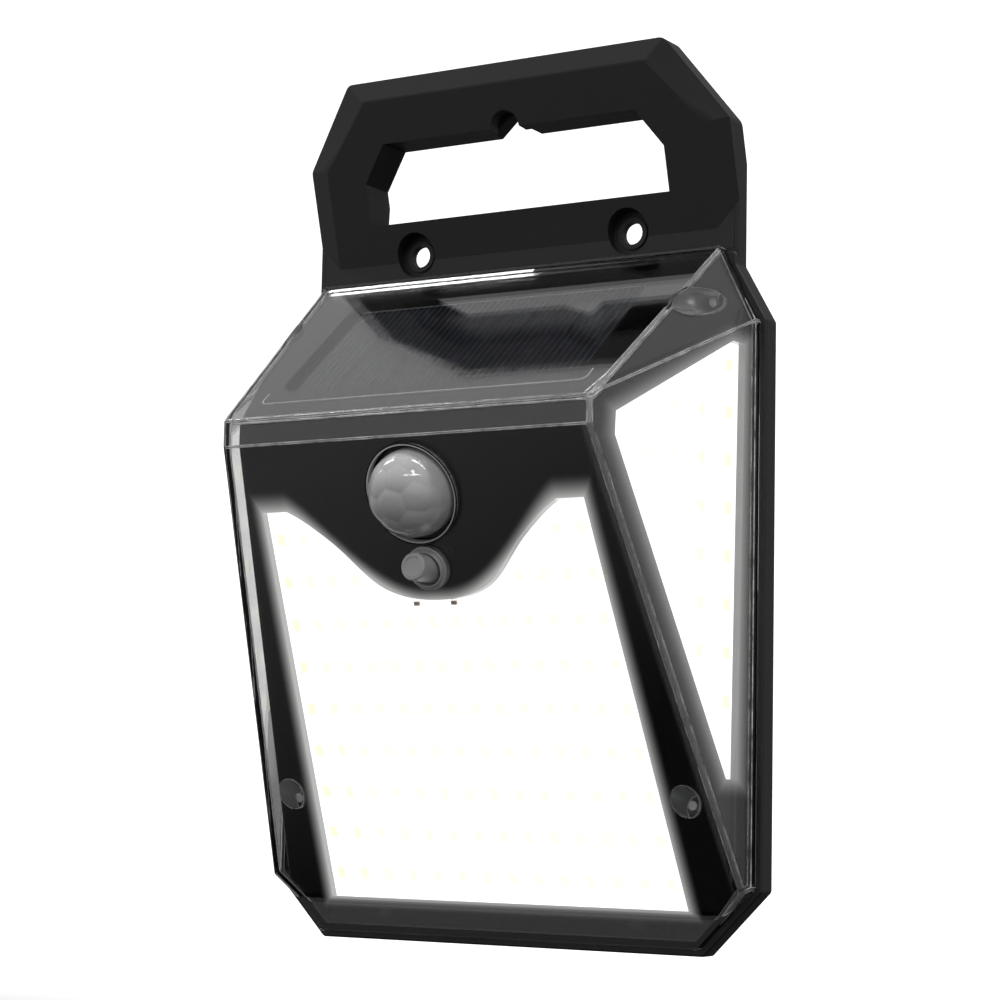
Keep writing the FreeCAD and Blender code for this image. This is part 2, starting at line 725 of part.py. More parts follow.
def battery_strap():
    """Band over the cell with a foot on each side, on the floor of the shell."""
    outside = battery_r + 1.0
    outer = rod(outside, V(-5, -battery_y, battery_z), V(1, 0, 0), 10)
    hull = outer.fuse(box(-5, 5, -battery_y, -shell_wall, battery_z - outside, battery_z + outside))
    feet = box(-5, 5, -shell_wall - 1.2, -shell_wall, battery_z - 17.5, battery_z + 17.5)
    hull = hull.fuse(feet)
    hull = hull.cut(rod(battery_r + 0.05, V(-6, -battery_y, battery_z), V(1, 0, 0), 12))
    inner = battery_r + 0.05
    hull = hull.cut(box(-6, 6, -battery_y, 1, battery_z - inner, battery_z + inner))
    for x, z in strap_screw_places():
        hull = hull.cut(rod(1.3, V(x, 0, z), V(0, -1, 0), 8))
    return hull.removeSplitter()


def screw(x, z, head_back, head_r, head_high, shank_r, length):
    """Pan-head screw driven from behind, with a cross recess in its head."""
    head = rod(head_r, V(x, -head_back, z), V(0, -1, 0), head_high)
    slot = box(x - head_r * 0.55, x + head_r * 0.55, -head_back - 0.9, -head_back + 1, z - 0.3, z + 0.3)
    cross = box(x - 0.3, x + 0.3, -head_back - 0.9, -head_back + 1, z - head_r * 0.55, z + head_r * 0.55)
    shank = rod(shank_r, V(x, -head_back - head_high, z), V(0, -1, 0), length)
    return head.cut(slot.fuse(cross)).fuse(shank)


def cover_screws():
    screws = []
    for side in (-1, 1):
        for x, z in cover_screw_places():
            screws.append(screw(side * x, z, 0.4, screw_head_r, 2.0, 1.25, cover_screw_bite + 3.0))
    return Part.makeCompound(screws)


def handle_screws():
    screws = []
    for x, z in handle_screw_places():
        behind = max(0.0, handle_back(z))
        reach = face_plane(z) - 1.6 - behind - head_sink
        screws.append(screw(x, z, behind + head_sink - 2.0, screw_head_r - 0.2, 2.0, 1.15, reach))
    return Part.makeCompound(screws)


def board_screws():
    return Part.makeCompound([screw(x, z, board_y - 1.4, 2.0, 1.4, 0.85, 6.0)
                              for x, z in board_screw_places()])


def strap_screws():
    screws = []
    for x, z in strap_screw_places():
        head = rod(2.4, V(x, -shell_wall - 1.2, z), V(0, -1, 0), 1.6)
        shank = rod(1.2, V(x, -shell_wall - 1.2, z), V(0, 1, 0), 2.4)
        screws.append(head.fuse(shank))
    return Part.makeCompound(screws)


def lead(points, radius):
    """Insulated lead along straight runs joined by tangent arcs."""
    edges = []
    last = points[0]
    for before, corner, after in zip(points, points[1:], points[2:]):
        back = before - corner
        ahead = after - corner
        half_turn = (math.pi - back.getAngle(ahead)) / 2
        bend = 0.45 * min(back.Length, ahead.Length) / math.tan(half_turn)
        cut = bend * math.tan(half_turn)
        back.normalize()
        ahead.normalize()
        start = corner + back * cut
        end = corner + ahead * cut
        middle_way = back + ahead
        middle_way.normalize()
        middle = corner + middle_way * (bend / math.cos(half_turn) - bend)
        edges.append(Part.makeLine(last, start))
        edges.append(Part.Arc(start, middle, end).toShape())
        last = end
    edges.append(Part.makeLine(last, points[-1]))
    path = Part.Wire(edges)
    direction = points[1] - points[0]
    ring = Part.Wire(Part.Circle(points[0], direction, radius).toShape())
    return path.makePipeShell([ring], True, False)


def leads(points, gap):
    """Two leads side by side, a gap apart in Z."""
    pair = []
    for side in (-1, 1):
        pair.append(lead([p + V(0, 0, side * gap / 2) for p in points], 0.6))
    return Part.makeCompound(pair)


def battery_leads():
    back = -board_y + 2.5
    return leads([V(-15.0, back, 98.5), V(-27.0, back, 98.5), V(-40.0, -22.0, 88.0),
                  V(-44.0, -battery_y, 78.0), V(-33.3, -battery_y, battery_z)], 1.6)


def solar_leads():
    back = -board_y + 2.5
    return leads([V(15.0, back, 98.5), V(27.0, back, 98.5), V(34.0, -24.0, 116.0),
                  V(30.0, -20.0, 138.0), V(24.0, -21.6, 153.0)], 1.6)


def wall_mount_shift(shape):
    moved = shape.copy()
    moved.translate(V(0, 0, -screw_z))
    return moved


def main():
    os.makedirs("parts", exist_ok=True)
    right_board = right_led_board()
    right_chips = right_led_chips()
    pieces = {
        "back_shell": back_shell(), "handle_front": handle_front(), "clear_cover": clear_cover(),
        "cover_gasket": cover_gasket(), "bezel": bezel(), "front_led_board": front_led_board(),
        "front_led_chips": front_led_chips(), "right_led_board": right_board,
        "left_led_board": mirrored(right_board), "right_led_chips": right_chips,
        "left_led_chips": mirrored(right_chips), "indicator_leds": indicator_leds(),
        "solar_panel": solar_panel(), "solar_cells": solar_cells(), "pir_lens": pir_lens(),
        "lens_seal": lens_seal(), "pir_spacer": pir_spacer(), "pir_sensor": pir_sensor(),
        "push_button": push_button(), "button_boot": button_boot(), "tact_switch": tact_switch(),
        "tact_plunger": tact_plunger(), "control_board": control_board(),
        "board_components": board_components(), "battery_cell": battery_cell(),
        "battery_strap": battery_strap(), "battery_leads": battery_leads(),
        "solar_leads": solar_leads(), "cover_screws": cover_screws(),
        "handle_screws": handle_screws(), "board_screws": board_screws(),
        "strap_screws": strap_screws()}
    for name, shape in pieces.items():
        moved = wall_mount_shift(shape)
        print(name, moved.isValid(), len(moved.Solids), round(moved.Volume, 1))
        moved.exportStep("parts/" + name + ".step")


main()
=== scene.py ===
import json
import math
import bmesh
import bpy
from mathutils import Matrix, Vector


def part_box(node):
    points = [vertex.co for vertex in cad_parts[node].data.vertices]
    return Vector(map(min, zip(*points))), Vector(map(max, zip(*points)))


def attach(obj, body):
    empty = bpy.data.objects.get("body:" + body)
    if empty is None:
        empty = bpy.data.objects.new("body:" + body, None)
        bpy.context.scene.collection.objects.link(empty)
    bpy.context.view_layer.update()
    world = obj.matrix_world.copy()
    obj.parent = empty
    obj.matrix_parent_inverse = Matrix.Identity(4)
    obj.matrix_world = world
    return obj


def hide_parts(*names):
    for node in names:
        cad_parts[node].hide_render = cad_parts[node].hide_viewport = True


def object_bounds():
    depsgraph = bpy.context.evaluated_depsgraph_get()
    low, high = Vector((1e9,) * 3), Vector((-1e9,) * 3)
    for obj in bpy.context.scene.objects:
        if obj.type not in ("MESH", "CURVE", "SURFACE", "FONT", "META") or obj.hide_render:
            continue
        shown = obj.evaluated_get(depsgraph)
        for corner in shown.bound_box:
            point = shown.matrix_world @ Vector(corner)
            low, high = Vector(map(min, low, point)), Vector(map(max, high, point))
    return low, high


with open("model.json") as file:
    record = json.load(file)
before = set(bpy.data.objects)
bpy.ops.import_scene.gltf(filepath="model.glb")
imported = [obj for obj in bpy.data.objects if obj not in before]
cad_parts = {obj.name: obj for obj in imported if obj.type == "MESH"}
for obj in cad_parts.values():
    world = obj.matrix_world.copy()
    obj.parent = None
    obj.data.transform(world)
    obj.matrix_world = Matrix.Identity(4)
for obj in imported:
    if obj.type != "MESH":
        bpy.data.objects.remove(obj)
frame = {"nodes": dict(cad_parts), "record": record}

cadLow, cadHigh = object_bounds()
mm = 0.001
foot = cadLow.z  # heights below are in millimetres above the foot of the body
weld = 2e-6  # metres; corners closer together than this become one
scene = bpy.context.scene
nodes = frame["nodes"]


class Wire:
    def __init__(self, tree, socket):
        self.tree = tree
        self.socket = socket

    def sum(self, operation, *values):
        node = self.tree.nodes.new("ShaderNodeMath")
        node.operation = operation
        for place, value in zip(node.inputs, values):
            plug(self.tree, place, value)
        return Wire(self.tree, node.outputs[0])

    def __add__(self, other):
        return self.sum("ADD", self, other)

    def __radd__(self, other):
        return self.sum("ADD", other, self)

    def __sub__(self, other):
        return self.sum("SUBTRACT", self, other)

    def __rsub__(self, other):
        return self.sum("SUBTRACT", other, self)

    def __mul__(self, other):
        return self.sum("MULTIPLY", self, other)

    def __rmul__(self, other):
        return self.sum("MULTIPLY", other, self)

    def __truediv__(self, other):
        return self.sum("DIVIDE", self, other)

    def __pow__(self, other):
        return self.sum("POWER", self, other)

    def __abs__(self):
        return self.sum("ABSOLUTE", self)

    def atLeast(self, other):
        return self.sum("MAXIMUM", self, other)

    def atMost(self, other):
        return self.sum("MINIMUM", self, other)

    def clamped(self):
        return self.atLeast(0.0).atMost(1.0)

    def ramp(self, start, width):
        # 0 up to start, 1 past start + width
        return ((self - start) / width).clamped()


def plug(tree, place, value):
    if isinstance(value, Wire):
        tree.links.new(value.socket, place)
    else:
        place.default_value = value


class Finish:
    def __init__(self, name, block=None):
        self.block = block or bpy.data.materials.new(name)
        self.block.use_nodes = True
        self.tree = self.block.node_tree
        self.skin = self.tree.nodes.get("Principled BSDF")

    def node(self, kind, settings=(), values=(), out=0):
        # settings first, then values or links; gives back one output
        made = self.tree.nodes.new("ShaderNode" + kind)
        for key, value in dict(settings).items():
            setattr(made, key, value)
        for key, value in dict(values).items():
            plug(self.tree, made.inputs[key], value)
        return Wire(self.tree, made.outputs[out])

    def place(self):
        return self.node("TexCoord", out="Object")

    def axes(self, spot=None):
        split = self.node("SeparateXYZ", values={"Vector": spot or self.place()})
        return [Wire(self.tree, socket) for socket in split.socket.node.outputs]

    def noise(self, scale, detail=3.0, roughness=0.55, stretch=None):
        spot = self.place()
        if stretch:
            spot = self.node("Mapping", values={"Vector": spot, "Scale": stretch})
        return self.node("TexNoise", values={"Vector": spot, "Scale": scale, "Detail": detail,
                                             "Roughness": roughness}, out="Fac")

    def blend(self, amount, first, second):
        return self.node("Mix", {"data_type": "RGBA"}, {0: amount, 6: first, 7: second}, out=2)

    def bump(self, height, strength, depth):
        return self.node("Bump", values={"Height": height, "Strength": strength, "Distance": depth})

    def set(self, **values):
        for key, value in values.items():
            plug(self.tree, self.skin.inputs[key.replace("_", " ")], value)


def grey(level):
    return (level, level, level, 1.0)


def mouldedBlack():
    look = {"grain": 2600, "blotch": 45, "rough": 0.5, "roughGrain": 0.25, "roughBlotch": 0.08,
            "bump": 0.35, "depth": 0.00006, "level": 0.009, "dark": 0.8, "light": 1.25}
    finish = Finish("mouldedBlack")
    grain = finish.noise(look["grain"], 2.0, 0.7)
    blotch = finish.noise(look["blotch"], 3.0)
    dark, light = (grey(look["level"] * look[tone]) for tone in ("dark", "light"))
    uneven = (grain - 0.5) * look["roughGrain"] + (blotch - 0.5) * look["roughBlotch"]
    finish.set(Base_Color=finish.blend(blotch, dark, light), Roughness=look["rough"] + uneven,
               Normal=finish.bump(grain, look["bump"], look["depth"]))
    return finish.block


def paintedLedGlow():
    # glossy black moulding with a painted glow: emission stands in for the light from the lit boards that
    # creeps over the edges of its windows
    look = {"level": 0.004, "smear": 1.8, "reach": 4.0, "front": 0.45, "side": 0.25, "sideReach": 5.5,
            "fade": 2.2, "glowTint": (1, 0.995, 0.98, 1)}
    window = {"topHalf": 48.7, "topZ": 112.1, "lowHalf": 55.0, "lowZ": 11.6}
    dip = {"z": 88.9, "start": 3.0, "wide": 38.0, "bowl": 1.9, "shoulder": 1.45, "steep": 1.2, "scale": 1.09}
    sideWindow = [(-10.6, 155.3), (-6.6, 154.8), (-8.0, 44.5), (-11.6, 44.5), (-48.4, 127.2), (-48.2, 133.0)]
    finish = Finish("glossBlackPaintedGlow")
    x, y, z = finish.axes()
    across = abs(x) / mm
    height = (z - foot) / mm
    depth = y / mm
    # front window: its sides and foot are straight, its upper edge dips round the sensor
    lean = (window["lowHalf"] - window["topHalf"]) / (window["topZ"] - window["lowZ"])
    beside = across - window["lowHalf"] + (height - window["lowZ"]) * lean
    below = window["lowZ"] - height
    along = across.ramp(dip["start"], dip["wide"])
    edge = dip["z"] + (window["topZ"] - dip["z"]) * (1.0 - (1.0 - along ** dip["bowl"]) ** dip["shoulder"])
    steep = dip["steep"] * along
    above = (height - edge) * dip["scale"] / (1.0 + steep * steep) ** 0.5
    off = beside.atLeast(below).atLeast(above).atLeast(0.0)
    # painted glow round the front window, fading with the distance past its edges
    front = (1.0 - off / look["reach"]).clamped() ** look["fade"] * look["front"]
    # side windows: a convex outline, so the largest distance past one of its edges
    far = None
    for (y0, z0), (y1, z1) in zip(sideWindow, sideWindow[1:] + sideWindow[:1]):
        length = math.hypot(y1 - y0, z1 - z0)
        past = (depth - y0) * (-(z1 - z0) / length) + (height - z0) * ((y1 - y0) / length)
        far = past if far is None else far.atLeast(past)
    # painted glow round the side windows, fading the same way
    side = (1.0 - far.atLeast(0.0) / look["sideReach"]).clamped() ** look["fade"] * look["side"]
    smear = finish.noise(30, 2.0)
    # the emission colour is the painted glow; the base colour is the moulding's own
    finish.set(Base_Color=finish.blend(smear, grey(look["level"]), grey(look["level"] * look["smear"])),
               Roughness=0.03 + smear * 0.03, Emission_Strength=1.0,
               Emission_Color=finish.blend(front.atLeast(side), grey(0), look["glowTint"]))
    return finish.block


def clearPlastic():
    finish = Finish("clearPlastic")
    haze = finish.noise(60, 3.0)
    finish.set(Base_Color=(0.985, 0.99, 0.99, 1), Transmission_Weight=1.0, IOR=1.49,
               Roughness=haze * 0.002, Normal=finish.bump(finish.noise(35, 0.0), 0.03, 0.0001))
    return finish.block


def clearRidge():
    # the rounded ridges of the clear moulding scatter a little of the light that runs in its walls
    finish = Finish("clearRidge")
    haze = finish.noise(200, 2.0)
    finish.set(Base_Color=(0.95, 0.96, 0.96, 1), Transmission_Weight=0.8, IOR=1.49,
               Roughness=0.17 + haze * 0.08)
    return finish.block


def paintedGlint():
    # painted highlight: bright and dull stretches of painted glint follow one another along the edges
    finish = Finish("paintedGlint")
    glintPatches = (finish.noise(220, 4.0, 0.7) * 3.2 - 1.15).clamped()
    finish.set(Base_Color=finish.blend(glintPatches, grey(0.16), grey(0.85)), Roughness=0.3)
    return finish.block


def boardPaintedGlow():
    # white solder mask with a painted glow: emission, with the track pattern in it, stands in for the light
    # of its own lamps
    finish = Finish("boardPaintedGlow")
    trackGlow = finish.node("TexBrick", {"offset": 0.5}, {"Vector": finish.place(), "Scale": 90.0,
                         "Color1": (1, 1, 0.99, 1), "Color2": (1, 0.995, 0.98, 1),
                         "Mortar": (0.98, 0.985, 0.97, 1), "Mortar Size": 0.015}, out="Color")
    finish.set(Base_Color=(0.85, 0.85, 0.83, 1), Roughness=0.35, Emission_Color=trackGlow,
               Emission_Strength=1.08)
    return finish.block


def chipCase():
    finish = Finish("chipCase")
    mottle = finish.noise(900)
    finish.set(Base_Color=finish.blend(mottle, (0.9, 0.9, 0.86, 1), (0.8, 0.8, 0.76, 1)), Roughness=0.4,
               Emission_Color=(1, 0.99, 0.95, 1), Emission_Strength=1.05)
    return finish.block


def phosphor():
    finish = Finish("phosphor")
    mottle = finish.noise(1500)
    # the outer lamps show their yellow; those among the others are washed out by them
    outer = {"leftX": -39.0, "leftWide": -6.0, "sideX": 62.5, "sideWide": 1.5}
    x = finish.axes()[0]
    left = (x / mm).ramp(outer["leftX"], outer["leftWide"])
    washed = 1.0 - left.atLeast((abs(x) / mm).ramp(outer["sideX"], outer["sideWide"]))
    finish.set(Base_Color=finish.blend(mottle, (0.95, 0.8, 0.2, 1), (0.9, 0.7, 0.15, 1)), Roughness=0.3,
               Emission_Color=finish.blend(washed, (1, 0.97, 0.78, 1), (1, 0.995, 0.94, 1)),
               Emission_Strength=1.0)
    return finish.block


def milkyLens():
    finish = Finish("milkyLens")
    cloud = finish.noise(120, 2.0)
    finish.set(Base_Color=finish.blend(cloud, grey(0.5), grey(0.58)), Roughness=0.03 + cloud * 0.02,
               Subsurface_Weight=0.3, Subsurface_Radius=(0.002,) * 3, Subsurface_Scale=1.0, IOR=1.5,
               Normal=finish.bump(finish.noise(300, 0.0), 0.03, 0.0001))
    return finish.block


def silicone(name, level):
    finish = Finish(name)
    cloud = finish.noise(300, 2.0)
    finish.set(Base_Color=finish.blend(cloud, grey(level * 0.92), grey(level * 1.06)),
               Roughness=0.3 + cloud * 0.1,
               Subsurface_Weight=0.25, Subsurface_Radius=(0.001,) * 3, Subsurface_Scale=1.0,
               Normal=finish.bump(finish.noise(1500, 1.0), 0.1, 0.00005))
    return finish.block


def panelResin():
    finish = Finish("panelResin")
    ripple = finish.noise(70, 2.0)
    finish.set(Base_Color=finish.blend(ripple, (0.006, 0.006, 0.008, 1), (0.010, 0.010, 0.013, 1)),
               Roughness=0.05 + ripple * 0.04, IOR=1.52, Normal=finish.bump(ripple, 0.1, 0.0002))
    return finish.block


def siliconCell():
    finish = Finish("siliconCell")
    grain = finish.node("TexVoronoi", values={"Vector": finish.place(), "Scale": 260.0}, out="Color")
    tone = finish.node("Mix", {"data_type": "RGBA", "blend_type": "MULTIPLY"},
                       {0: 0.35, 6: (0.012, 0.014, 0.024, 1), 7: grain}, out=2)
    finish.set(Base_Color=tone, Roughness=0.12, IOR=1.6)
    return finish.block


def silverInk():
    finish = Finish("silverInk")
    wear = finish.noise(1400)
    finish.set(Base_Color=finish.blend(wear, grey(0.16), grey(0.3)), Metallic=0.5,
               Roughness=0.35 + wear * 0.15)
    return finish.block


def platedSteel():
    finish = Finish("platedSteel")
    brush = finish.noise(900, 3.0, 0.6, (1.0, 14.0, 1.0))
    finish.set(Base_Color=finish.blend(brush, grey(0.42), grey(0.6)), Metallic=1.0,
               Roughness=0.26 + brush * 0.2,
               Normal=finish.bump(brush, 0.15, 0.00004))
    return finish.block


def plain(name, low, high, scale, rough, depth=0.00004, metal=0.0):
    # two near tones, a fine texture and a matching roughness
    finish = Finish(name)
    grain = finish.noise(scale)
    finish.set(Base_Color=finish.blend(grain, (*low, 1), (*high, 1)), Roughness=rough + (grain - 0.5) * 0.15,
               Metallic=metal, Normal=finish.bump(grain, 0.25, depth))
    return finish.block


looks = {
    "black_plastic": mouldedBlack(),
    "gloss_black": paintedLedGlow(),
    "clear_plastic": clearPlastic(),
    "gasket_rubber": plain("gasketRubber", (0.008, 0.008, 0.008), (0.014, 0.014, 0.014), 1200, 0.8),
    "led_board_white": boardPaintedGlow(),
    "led_chip": phosphor(),
    "indicator_lamp": plain("indicatorLamp", (0.55, 0.42, 0.38), (0.65, 0.5, 0.45), 900, 0.2),
    "solar_laminate": panelResin(),
    "solar_cell": siliconCell(),
    "milky_lens": milkyLens(),
    "sensor_can": platedSteel(),
    "grey_silicone": silicone("greySilicone", 0.46),
    "clear_silicone": silicone("clearSilicone", 0.42),
    "switch_black": plain("switchBlack", (0.015, 0.015, 0.015), (0.03, 0.03, 0.03), 900, 0.5),
    "board_green": plain("boardGreen", (0.01, 0.08, 0.03), (0.02, 0.13, 0.05), 300, 0.3),
    "component_black": plain("componentBlack", (0.02, 0.02, 0.02), (0.04, 0.04, 0.04), 1500, 0.55),
    "battery_wrap": plain("batteryWrap", (0.03, 0.12, 0.3), (0.05, 0.16, 0.4), 120, 0.25),
    "steel_strip": plain("steelStrip", (0.45, 0.45, 0.45), (0.6, 0.6, 0.6), 700, 0.35, metal=1.0),
    "lead_red": plain("leadRed", (0.4, 0.02, 0.02), (0.5, 0.03, 0.03), 900, 0.4),
    "screw_steel": platedSteel(),
}
extra = {"chipCase": chipCase(), "silverInk": silverInk(), "clearRidge": clearRidge(), "paintedGlint": paintedGlint(),
         "resinEdge": plain("resinEdge", (0.35, 0.35, 0.36), (0.45, 0.45, 0.46), 400, 0.15),
         # painted highlight: a light grey finish for thin pieces that stand in for light caught on clear
         # edges
         "paintedBrightEdge": plain("paintedBrightEdge", (0.7, 0.7, 0.7), (0.85, 0.85, 0.85), 400, 0.1)}
slotOf = {part["node"]: part["material_slot"] for part in frame["record"]["subparts"]}
for name, thing in nodes.items():
    for slotPlace in thing.material_slots:
        slotPlace.material = looks[slotOf[name]]
print("materials:", len(looks) + len(extra))


def cadCopy(name):
    # the node's triangles merged, and its flat faces made whole again
    bm = bmesh.new()
    bm.from_mesh(nodes[name].data)
    bmesh.ops.remove_doubles(bm, verts=bm.verts, dist=weld)
    bmesh.ops.dissolve_limit(bm, angle_limit=math.radians(0.6), use_dissolve_boundaries=False, verts=bm.verts,
                             edges=bm.edges, delimit=set())
    return bm


def flatFaces(bm):
    # faces of a plane of at least this area; neighbours in one plane turn by next to nothing
    least = 20 * mm * mm
    sameWay = 0.99999
    seen = set()
    flat = set()
    for face in bm.faces:
        if face in seen:
            continue
        seen.add(face)
        plane = [face]
        for here in plane:
            for other in {other for edge in here.edges for other in edge.link_faces} - seen:
                if here.normal.dot(other.normal) > sameWay:
                    seen.add(other)
                    plane.append(other)
        if sum(one.calc_area() for one in plane) > least:
            flat.update(plane)
    return flat


def evenNormals(bm, flat, sharp):
    # planes keep their own normal and the round edges between them run into it
    limit = math.cos(math.radians(sharp))
    normals = []
    for face in bm.faces:
        for loop in face.loops:
            if face in flat:
                normals.append(face.normal.copy())
                continue
            near = [other for other in loop.vert.link_faces if other.normal.dot(face.normal) > limit]
            planes = [other for other in near if other in flat]
            if planes:
                normals.append(max(planes, key=lambda other: other.normal.dot(face.normal)).normal.copy())
            else:
                mixed = sum((other.normal * other.calc_area() for other in near), Vector())
                normals.append(mixed.normalized())
    return normals


def makePiece(name, bm, body, slotName, replaced=(), materials=None, sharp=40.0):
    bm.normal_update()
    normals = evenNormals(bm, flatFaces(bm), sharp)
    mesh = bpy.data.meshes.new(name)
    bm.to_mesh(mesh)
    bm.free()
    for material in materials or [looks[slotName]]:
        mesh.materials.append(material)
    mesh.shade_smooth()
    mesh.normals_split_custom_set(normals)
    piece = bpy.data.objects.new(name, mesh)
    scene.collection.objects.link(piece)
    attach(piece, body)
    if replaced:
        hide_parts(*replaced)
    return piece


def facet(origin, up, normal):
    across = Vector((1, 0, 0))
    return Matrix(((across.x, up.x, normal.x, origin.x), (across.y, up.y, normal.y, origin.y),
                   (across.z, up.z, normal.z, origin.z), (0, 0, 0, 1)))


hoodShape = {"browY": 60.7, "browZ": 135.5, "bandZ": 128.4, "frontSlope": 0.448, "apexY": 7.0, "apexZ": 181.1}
panelFoot = 143.6  # the height that the panel's fingers and bead are drawn from


def frontFacet(height):
    # matrix that puts a shape drawn flat, in millimetres, onto the front facet at this height
    angle = math.atan(hoodShape["frontSlope"])
    y = -hoodShape["browY"] + hoodShape["frontSlope"] * (hoodShape["bandZ"] - height)
    origin = Vector((0, y * mm, foot + height * mm))
    up = Vector((0, -math.sin(angle), math.cos(angle)))
    normal = Vector((0, -math.cos(angle), -math.sin(angle)))
    return facet(origin, up, normal) @ Matrix.Scale(mm, 4)


def topFacet(height):
    run = hoodShape["browY"] - hoodShape["apexY"]
    rise = hoodShape["apexZ"] - hoodShape["browZ"]
    length = math.hypot(run, rise)
    up = Vector((0, run / length, rise / length))
    part = (height - hoodShape["browZ"]) / rise
    origin = Vector((0, (-hoodShape["browY"] + part * run) * mm, foot + height * mm))
    return facet(origin, up, Vector((0, -up.z, up.y))) @ Matrix.Scale(mm, 4)


def spun(profile, steps):
    # closed (radius, z) outline turned about Z
    bm = bmesh.new()
    ring = [bm.verts.new((radius, 0, z)) for radius, z in profile]
    edges = [bm.edges.new(pair) for pair in zip(ring, ring[1:] + ring[:1])]
    bmesh.ops.spin(bm, geom=ring + edges, cent=(0, 0, 0), axis=(0, 0, 1), angle=math.tau, steps=steps,
                   use_merge=True)
    bmesh.ops.remove_doubles(bm, verts=bm.verts, dist=1e-5)
    loose = [face for face in bm.faces if face.calc_area() < 1e-9]
    bmesh.ops.delete(bm, geom=loose, context="FACES")
    bmesh.ops.recalc_face_normals(bm, faces=bm.faces)
    return bm


def arc(radius, centre, start, end, steps):
    # (radius, z) points on an arc about a centre, angles in degrees from the X axis
    points = []
    for step in range(steps + 1):
        angle = math.radians(start + (end - start) * step / steps)
        points.append((centre[0] + radius * math.cos(angle), centre[1] + radius * math.sin(angle)))
    return points


def tube(path, radius, sides, place):
    # round bar along flat points, closed at both ends
    bm = bmesh.new()
    rings = []
    for index, spot in enumerate(path):
        ahead = (path[min(index + 1, len(path) - 1)] - path[max(index - 1, 0)]).normalized()
        side = ahead.cross(Vector((0, 0, 1)))
        rings.append([bm.verts.new(spot + side * radius * math.cos(math.tau * k / sides)
                                   + Vector((0, 0, radius * math.sin(math.tau * k / sides))))
                      for k in range(sides)])
    for first, second in zip(rings, rings[1:]):
        for k in range(sides):
            bm.faces.new((first[k], first[(k + 1) % sides], second[(k + 1) % sides], second[k]))
    bm.faces.new(rings[0])
    bm.faces.new(rings[-1])
    bmesh.ops.recalc_face_normals(bm, faces=bm.faces)
    bm.transform(place)
    return bm


def shellPiece(nodeName, pieceName, sharp, ridge=None):
    # the moulded form keeps its planes flat and shades its rounded edges smoothly
    bm = bmesh.new()
    bm.from_mesh(nodes[nodeName].data)
    bmesh.ops.remove_doubles(bm, verts=bm.verts, dist=weld)
    bm.normal_update()
    materials = [looks[slotOf[nodeName]]]
    if ridge:
        materials.append(ridge)
        flat = flatFaces(bm)
        for face in bm.faces:
            face.material_index = 0 if face in flat else 1
    return makePiece(pieceName, bm, "housing", slotOf[nodeName], [nodeName], materials, sharp)


def paintedRidgeHighlights():
    # painted highlights: thin tubes stand in for the light caught along both sides of every rounded ridge of
    # the clear moulding
    line = {"radius": 0.1, "shortest": 0.3, "sides": 6}
    source = bmesh.new()
    source.from_mesh(nodes["clear_cover"].data)
    bmesh.ops.remove_doubles(source, verts=source.verts, dist=weld)
    source.normal_update()
    flat = flatFaces(source)
    bm = bmesh.new()
    for edge in source.edges:
        sides = [face in flat for face in edge.link_faces]
        start, end = (vert.co for vert in edge.verts)
        if sides.count(True) != 1 or (end - start).length < line["shortest"] * mm:
            continue
        turned = Vector((0, 0, 1)).rotation_difference(end - start).to_matrix().to_4x4()
        bmesh.ops.create_cone(bm, cap_ends=True, segments=line["sides"], radius1=line["radius"] * mm,
                              radius2=line["radius"] * mm, depth=(end - start).length,
                              matrix=Matrix.Translation((start + end) / 2) @ turned)
    source.free()
    return makePiece("paintedRidgeHighlights", bm, "housing", "clear_plastic", (), [extra["paintedGlint"]])


shells = [shellPiece("back_shell", "backShell", 40), shellPiece("handle_front", "handleFront", 22),
          shellPiece("clear_cover", "clearCover", 40, extra["clearRidge"]),
          shellPiece("bezel", "bezelFrame", 40)]
shells.append(paintedRidgeHighlights())
for piece in shells:
    print("shell:", piece.name, len(piece.data.polygons))


def lampChips(nodeName, name, normal):
    # each package gets a recessed phosphor window in its top
    size = {"margin": 0.16, "wall": 0.048, "recess": 0.1, "facing": 0.98}
    bm = cadCopy(nodeName)
    tops = [face for face in bm.faces if face.normal.dot(normal) > size["facing"]]
    bmesh.ops.inset_individual(bm, faces=tops, thickness=size["margin"] * mm, depth=0, use_even_offset=True)
    bmesh.ops.inset_individual(bm, faces=tops, thickness=size["wall"] * mm, depth=-size["recess"] * mm)
    for face in tops:
        face.material_index = 1
    return makePiece(name, bm, "housing", "led_chip", [nodeName], [extra["chipCase"], looks["led_chip"]],
                     sharp=30)


frontNormal = (frontFacet(60).to_3x3() @ Vector((0, 0, 1))).normalized()
sideNormal = Vector((0.948, -0.318, 0)).normalized()
lampChips("front_led_chips", "frontLampChips", frontNormal)
lampChips("right_led_chips", "rightLampChips", sideNormal)
lampChips("left_led_chips", "leftLampChips", Vector((-sideNormal.x, sideNormal.y, 0)))


